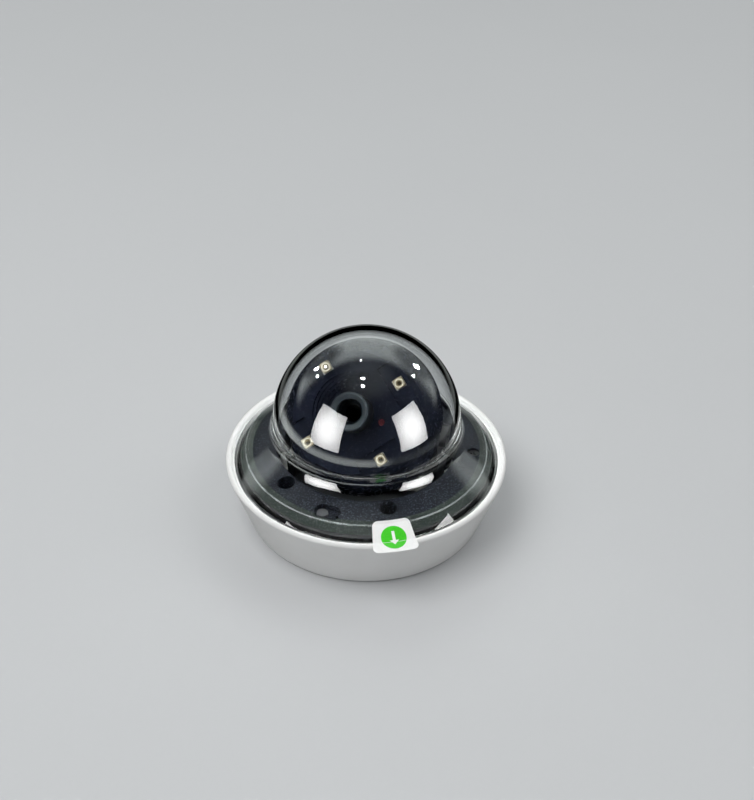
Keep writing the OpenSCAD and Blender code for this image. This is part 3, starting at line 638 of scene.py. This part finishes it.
def cover_profile():
    """The cover's section, from the skirt's inner foot round the outside, over the dome and back inside."""
    turn = 90 - degrees(CONE_LEAN)
    fillet_z = CORNER_Z + FILLET_R * tan(radians(turn / 2))
    centre_r = NECK_R + FILLET_R
    skirt_in_r = SKIRT_R - COVER_T
    groove_r = SKIRT_R - SEAL_DEPTH
    seal_z = SKIRT_Z + SEAL_RISE
    inner_r = DOME_R - COVER_T
    return [
        (skirt_in_r, SKIRT_Z), (SKIRT_R, SKIRT_Z), (SKIRT_R, seal_z),
        (groove_r, seal_z), (groove_r, seal_z + SEAL_H),
        (SKIRT_R, seal_z + SEAL_H), (SKIRT_R, RIM_Z), (RIM_R, RIM_Z),
        *arc(RIM_R - RIM_ROUND, RIM_Z + RIM_T - RIM_ROUND / 2, RIM_ROUND, 0, 45, RIM_STEPS),
        (EDGE_R + EDGE_ROUND, EDGE_Z - EDGE_ROUND),
        (EDGE_R - EDGE_ROUND, EDGE_Z + EDGE_ROUND * tan(CONE_LEAN)),
        *arc(centre_r, fillet_z, FILLET_R, 180 + turn, 180, FILLET_STEPS),
        (NECK_R, DOME_Z - NECK_STEP), (NECK_R - NECK_STEP, DOME_Z), (DOME_R, DOME_Z),
        *arc(0, DOME_Z, DOME_R, 0, 90, DOME_STEPS)[1:-1], (0, DOME_Z + DOME_R),
        (0, DOME_Z + inner_r), *arc(0, DOME_Z, inner_r, 90, 0, DOME_STEPS)[1:],
        (NECK_R - COVER_T, DOME_Z - NECK_STEP),
        *arc(centre_r, fillet_z, FILLET_R + COVER_T, 180, 180 + turn, FILLET_STEPS),
        (skirt_in_r, cone_in_z(skirt_in_r)),
    ]


def make_cover(made):
    """The clear cover, and the thin matt line on its crisp edge, which is a painted highlight."""
    bm = bmesh.new()
    lathe(bm, cover_profile(), COVER_TURNS)
    mesh = to_mesh("clear_dome_cover", bm, COVER_SHARP)
    cover = add_piece("clear_dome_cover", mesh, "cover", "clear_cover", made["clear_cover"], "dome_cover")
    # The edge line: a thin pale ring, a painted highlight along the crisp edge.
    bm = bmesh.new()
    upper_r = EDGE_R - EDGE_LINE_W
    upper_z = EDGE_Z + EDGE_LINE_W * tan(CONE_LEAN)
    lower_r = EDGE_R + EDGE_LINE_W
    lower_z = EDGE_Z - EDGE_LINE_W
    lathe(bm, [
        (upper_r, upper_z), (upper_r, upper_z + EDGE_LINE_RISE),
        (EDGE_R + EDGE_LINE_RISE, EDGE_Z + EDGE_LINE_RISE),
        (lower_r + EDGE_LINE_RISE, lower_z), (lower_r - EDGE_LINE_RISE, lower_z),
    ], COVER_TURNS)
    add_piece("cover_edge_line", to_mesh("cover_edge_line", bm), "cover", "clear_cover", made["painted_edge_highlight"])
    return cover


def sticker_path():
    """The corners of the sticker's under face along a radius, as (r, z) points."""
    return [
        Vector((EDGE_R - STICKER_HOLD, EDGE_Z + STICKER_HOLD * tan(CONE_LEAN) + STICKER_LIFT)),
        Vector((EDGE_R, EDGE_Z + STICKER_LIFT)),
        Vector((LIP_R - LIP_HALF, LIP_Z + STICKER_LIFT)),
        Vector((LIP_R + STICKER_OVERHANG, LIP_Z - STICKER_DROOP)),
    ]


def along(corners, distance):
    """The point at a distance along a line of corners."""
    for a, b in zip(corners, corners[1:]):
        step = (b - a).length
        if distance <= step or b is corners[-1]:
            return a + (b - a) * distance / step
        distance -= step


def sticker_point(corners, across, distance, lift):
    """A point on the bent sticker: across is an angle from its middle line."""
    here = along(corners, distance)
    turn = STICKER_TURN + across
    return Vector((here.x * sin(turn), -here.x * cos(turn), here.y + lift))


def skin(bm, rows):
    """Faces between rows of vertices."""
    for a, b in zip(rows, rows[1:]):
        for j in range(len(a) - 1):
            bm.faces.new([a[j], a[j + 1], b[j + 1], b[j]])


def thicken(bm, height):
    """Lifts a copy of a sheet straight up, with walls round it."""
    top = bmesh.ops.extrude_face_region(bm, geom=bm.faces[:])
    lifted = [v for v in top["geom"] if isinstance(v, bmesh.types.BMVert)]
    bmesh.ops.translate(bm, vec=(0, 0, height), verts=lifted)


def soften_edges(piece, width):
    """A small bevel of two steps."""
    soften = piece.modifiers.new("soft_edges", "BEVEL")
    soften.width = width
    soften.segments = 2
    return soften


def make_sticker(made):
    """The seal tab with its round print and the arrow on it."""
    corners = sticker_path()
    length = sum((b - a).length for a, b in zip(corners, corners[1:]))
    bm = bmesh.new()
    rows = []
    for i in range(STICKER_ROWS + 1):
        distance = length * (1 - cos(pi * i / STICKER_ROWS)) / 2
        end = min(distance, length - distance)
        radius = along(corners, distance).x
        inset = 0
        if end < STICKER_CORNER:
            inset = STICKER_CORNER - sqrt(max(0, STICKER_CORNER ** 2 - (STICKER_CORNER - end) ** 2))
        half = STICKER_SPREAD / 2 - inset / radius
        rows.append([
            bm.verts.new(sticker_point(corners, half * (2 * j / STICKER_COLUMNS - 1), distance, 0))
            for j in range(STICKER_COLUMNS + 1)
        ])
    skin(bm, rows)
    thicken(bm, STICKER_T)
    mesh = to_mesh("seal_tab", bm, STICKER_SHARP)
    tab = add_piece("seal_tab", mesh, "cover", "sticker_white", made["sticker_white"], "seal_sticker")
    soften = soften_edges(tab, STICKER_SOFT)
    soften.limit_method = "ANGLE"
    soften.angle_limit = STICKER_SOFT_FROM
    print_flat(corners, "seal_disc", disc_rows(), DISC_T, made["sticker_green"])
    print_flat(corners, "seal_arrow", arrow_rows(), ARROW_T, made["sticker_white"])


def disc_rows():
    """Left and right ends of the disc's rows, as (distance, left, right) from its centre."""
    rows = []
    for i in range(DISC_ROWS + 1):
        d = -DISC_R * cos(pi * i / DISC_ROWS)
        half = sqrt(max(0, DISC_R ** 2 - d ** 2))
        rows.append((d, -half, half))
    return rows


def arrow_rows():
    """A plain arrow that points outward, along the pull of the tab."""
    tip = 2.7 * MM
    tip_half = 0.034 * MM
    head = 0.9 * MM
    wide = 1.7 * MM
    stem = 0.55 * MM
    return [(-tip, -stem, stem), (head, -stem, stem), (head, -wide, wide), (tip, -tip_half, tip_half)]


def print_flat(corners, name, rows, thickness, material):
    """A thin printed shape on top of the sticker, made of rows across it."""
    bm = bmesh.new()
    made_rows = []
    for d, left, right in rows:
        distance = PRINT_PLACE + d
        radius = along(corners, distance).x
        made_rows.append([
            bm.verts.new(sticker_point(
                corners, (left + (right - left) * j / PRINT_COLUMNS) / radius, distance, STICKER_T
            ))
            for j in range(PRINT_COLUMNS + 1)
        ])
    skin(bm, made_rows)
    bmesh.ops.remove_doubles(bm, verts=bm.verts, dist=PRINT_WELD)
    thicken(bm, thickness)
    add_piece(name, to_mesh(name, bm, STICKER_SHARP), "cover", "sticker_white", material)


def lamp_places():
    """The middle of each lamp's foot, as a matrix on the ball head."""
    for i in range(LAMP_COUNT):
        turn = Matrix.Rotation(2 * pi / LAMP_COUNT * (i + 0.5), 4, "Z")
        yield HEAD @ turn @ Matrix.Translation((LAMP_CIRCLE, 0, LAMP_BASE))


def square_loop(bm, place, side, z):
    """A square with cut corners, as a loop of vertices at one height."""
    loop = []
    for i in range(LAMP_TURNS):
        a = 2 * pi * (i + 0.5) / LAMP_TURNS
        x = abs(cos(a))
        y = abs(sin(a))
        far = min(side / 2 / max(x, y), (1 - LAMP_CUT) * side / (x + y))
        loop.append(bm.verts.new(place @ Vector((far * cos(a), far * sin(a), z))))
    return loop


def bridge(bm, a, b):
    """Faces between two loops with as many vertices each."""
    count = len(a)
    for i in range(count):
        j = (i + 1) % count
        bm.faces.new([a[i], a[j], b[j], b[i]])


def make_lamps(made):
    """Lamp bodies with a round cup under each clear dome, and the emitter in it."""
    edge_w = 0.1 * MM
    edge_h = 0.15 * MM
    cup_r = 1.6 * MM
    cup_foot_r = 0.78 * MM
    floor_z = LAMP_H - 0.5 * MM
    gap = 0.02 * MM
    rim_z = LAMP_H - 0.04 * MM
    rim_t = 0.06 * MM
    die = 0.8 * MM
    die_t = 0.12 * MM
    die_soft = 0.03 * MM
    bodies = bmesh.new()
    cups = bmesh.new()
    dies = bmesh.new()
    for place in lamp_places():
        foot = square_loop(bodies, place, LAMP_S, 0)
        low = square_loop(bodies, place, LAMP_S, LAMP_H - edge_h)
        top = square_loop(bodies, place, LAMP_S - 2 * edge_w, LAMP_H)
        mouth = ring(bodies, place, cup_r, LAMP_H, LAMP_TURNS, 0.5)
        floor = ring(bodies, place, cup_r, floor_z, LAMP_TURNS, 0.5)
        for a, b in ((foot, low), (low, top), (top, mouth), (mouth, floor)):
            bridge(bodies, a, b)
        bodies.faces.new(floor)
        bodies.faces.new(foot)
        lathe(cups, [
            (cup_foot_r, floor_z + gap), (cup_r - gap, rim_z),
            (cup_r - gap, rim_z - rim_t), (cup_foot_r + gap, floor_z + gap / 2),
        ], LAMP_TURNS, place)
        lift = Matrix.Translation((0, 0, floor_z + (die_t + gap) / 2))
        size = Matrix.Diagonal((die, die, die_t, 1))
        bmesh.ops.create_cube(dies, size=1, matrix=place @ lift @ size)
    add_piece("lamp_bodies", to_mesh("lamp_bodies", bodies), "ball_head", "led_cream", made["led_cream"],
              "led_packages")
    add_piece("lamp_cups", to_mesh("lamp_cups", cups), "ball_head", "led_cream", made["lamp_cup"])
    dice = add_piece("lamp_dies", to_mesh("lamp_dies", dies), "ball_head", "led_cream", made["lamp_die"])
    soften_edges(dice, die_soft)


def make_lens_stops(made):
    """Blackened rings inside the barrel, which step down behind the front glass."""
    gap = 0.1 * MM
    bore_r = 3.88 * MM
    pitch = 1.1 * MM
    stop_t = 0.5 * MM
    slope_w = 0.25 * MM
    slope_h = 0.35 * MM
    bm = bmesh.new()
    for i, inner_r in enumerate((3.35 * MM, 3.05 * MM, 2.7 * MM)):
        top = LENS_SEAT - gap - i * pitch
        lathe(bm, [
            (bore_r, top), (inner_r + slope_w, top), (inner_r, top - slope_h),
            (inner_r, top - stop_t), (bore_r, top - stop_t),
        ], 2 * LAMP_TURNS, HEAD)
    add_piece("lens_stops", to_mesh("lens_stops", bm), "ball_head", "barrel_black", made["barrel_black"])


# Studio


def make_floor():
    """A plain pale floor under the object, which nothing polished mirrors."""
    mesh = bpy.data.meshes.new("floor")
    bm = bmesh.new()
    bmesh.ops.create_circle(bm, cap_ends=True, segments=FLOOR_TURNS, radius=FLOOR_R)
    bm.to_mesh(mesh)
    bm.free()
    floor = bpy.data.objects.new("floor", mesh)
    floor.location.z = -FLOOR_DROP
    bpy.context.scene.collection.objects.link(floor)
    f = Finish("floor_pale", (0.60, 0.61, 0.62), 0.6)
    f.mottle(0.004, (0.595, 0.605, 0.615), (0.61, 0.62, 0.63))
    path = f.tree.nodes.new("ShaderNodeLightPath")
    f.mix_in(path.outputs["Glossy Depth"], f.node("ShaderNodeEmission", Strength=0))
    mesh.materials.append(f.material)
    floor.visible_glossy = False


def direction(azimuth, elevation):
    """A unit vector from two angles in degrees. The azimuth runs from -Y towards +X."""
    a = radians(azimuth)
    e = radians(elevation)
    return Vector((sin(a) * cos(e), -cos(a) * cos(e), sin(e)))


def make_panel(name, azimuth, elevation, distance, width, height, watts, mirrors=None):
    """A soft rectangular lamp that faces the dome. With mirrors, it only shows as a highlight there."""
    data = bpy.data.lights.new(name, "AREA")
    data.shape = "RECTANGLE"
    data.size = width
    data.size_y = height
    data.energy = watts
    lamp = bpy.data.objects.new(name, data)
    centre = Vector((0, 0, DOME_Z))
    place = centre + distance * direction(azimuth, elevation)
    turn = (centre - place).to_track_quat("-Z", "Y").to_matrix().to_4x4()
    lamp.matrix_world = Matrix.Translation(place) @ turn
    bpy.context.scene.collection.objects.link(lamp)
    lamp.visible_camera = False
    lamp.visible_transmission = False
    lamp.visible_diffuse = mirrors is None
    lamp.visible_glossy = mirrors is not None
    if mirrors is not None:
        lamp.light_linking.receiver_collection = mirrors
    return lamp


def soften_panel(lamp):
    """Makes a panel brighter in its middle than at its rim."""
    data = lamp.data
    data.use_nodes = True
    tree = data.node_tree
    middle = tree.nodes.new("ShaderNodeVectorMath")
    middle.operation = "DISTANCE"
    middle.inputs[1].default_value = (0.5, 0.5, 0)
    tree.links.new(tree.nodes.new("ShaderNodeNewGeometry").outputs["Parametric"], middle.inputs[0])
    level = map_range(tree, middle.outputs["Value"], WINDOW_FADE, (1, WINDOW_RIM), smooth=True)
    tree.links.new(level, tree.nodes["Emission"].inputs["Strength"])


def make_lights(cover):
    """Two soft panels light the whole object. The others are there for what the clear cover mirrors."""
    mirrors = bpy.data.collections.new("mirrors")
    mirrors.objects.link(cover)
    for name, azimuth, elevation, distance, side, watts in PANELS:
        make_panel(name, azimuth, elevation, distance, side, side, watts)
    for name, azimuth, width in WINDOWS:
        soften_panel(make_panel(
            name, azimuth, WINDOW_ELEVATION, WINDOW_DISTANCE, width, WINDOW_H, WINDOW_WATTS, mirrors
        ))
    for name, azimuth, elevation, width, height, watts in SPOTS:
        make_panel(name, azimuth, elevation, SPOT_DISTANCE, width, height, watts, mirrors)


def make_world():
    """A grey room: even light for matt surfaces, and what polished surfaces mirror.

    They see pale walls behind with a shaded patch on each side, a dim ceiling, and a pale strip low
    on the left. The rest is dark."""
    world = bpy.data.worlds.new("studio")
    bpy.context.scene.world = world
    world.use_nodes = True
    tree = world.node_tree
    even = tree.nodes["Background"]
    even.inputs["Color"].default_value = (0.36, 0.365, 0.37, 1)
    place = tree.nodes.new("ShaderNodeTexCoord").outputs["Generated"]

    def facing(side, span, levels):
        """A level that changes over a span of the cosine of the angle to a side of the room."""
        dot = tree.nodes.new("ShaderNodeVectorMath")
        dot.operation = "DOT_PRODUCT"
        dot.inputs[1].default_value = direction(*side)
        tree.links.new(place, dot.inputs[0])
        return map_range(tree, dot.outputs["Value"], span, levels, smooth=True)

    def joined(operation, *values):
        """Values taken together, one after the other."""
        total = values[0]
        for value in values[1:]:
            step = tree.nodes.new("ShaderNodeMath")
            step.operation = operation
            tree.links.new(total, step.inputs[0])
            tree.links.new(value, step.inputs[1])
            total = step.outputs[0]
        return total

    walls = joined(
        "MULTIPLY",
        facing(FRONT, WALL_SPAN, (WALL_LEVEL, 0)),
        facing(HIGH_FRONT, WALL_TOP_SPAN, (0, 1)),
        facing(SHADE_LEFT, SHADE_SPAN, (1, SHADED_LEFT)),
        facing(SHADE_RIGHT, SHADE_SPAN, (1, SHADED_RIGHT)),
    )
    ceiling = facing(UP, CEILING_SPAN, (0, CEILING_LEVEL))
    strip = joined(
        "MULTIPLY",
        facing(UP, STRIP_LOW_SPAN, (0, STRIP_LEVEL)),
        facing(UP, STRIP_HIGH_SPAN, (1, 0)),
        facing(LEFT_FRONT, STRIP_SIDE_SPAN, (STRIP_FAR_SIDE, 1)),
    )
    mirrored = tree.nodes.new("ShaderNodeBackground")
    mirrored.inputs["Color"].default_value = (0.96, 1.03, 1.0, 1)
    tree.links.new(joined("MAXIMUM", walls, ceiling, strip), mirrored.inputs["Strength"])
    choose = tree.nodes.new("ShaderNodeMixShader")
    tree.links.new(tree.nodes.new("ShaderNodeLightPath").outputs["Is Diffuse Ray"], choose.inputs[0])
    tree.links.new(mirrored.outputs[0], choose.inputs[1])
    tree.links.new(even.outputs[0], choose.inputs[2])
    tree.links.new(choose.outputs[0], tree.nodes["World Output"].inputs["Surface"])


make_camera()
finishes = dress_nodes()
cover = make_cover(finishes)
make_sticker(finishes)
make_lamps(finishes)
make_lens_stops(finishes)
make_floor()
make_lights(cover)
make_world()
bpy.context.scene.view_settings.view_transform = "Standard"
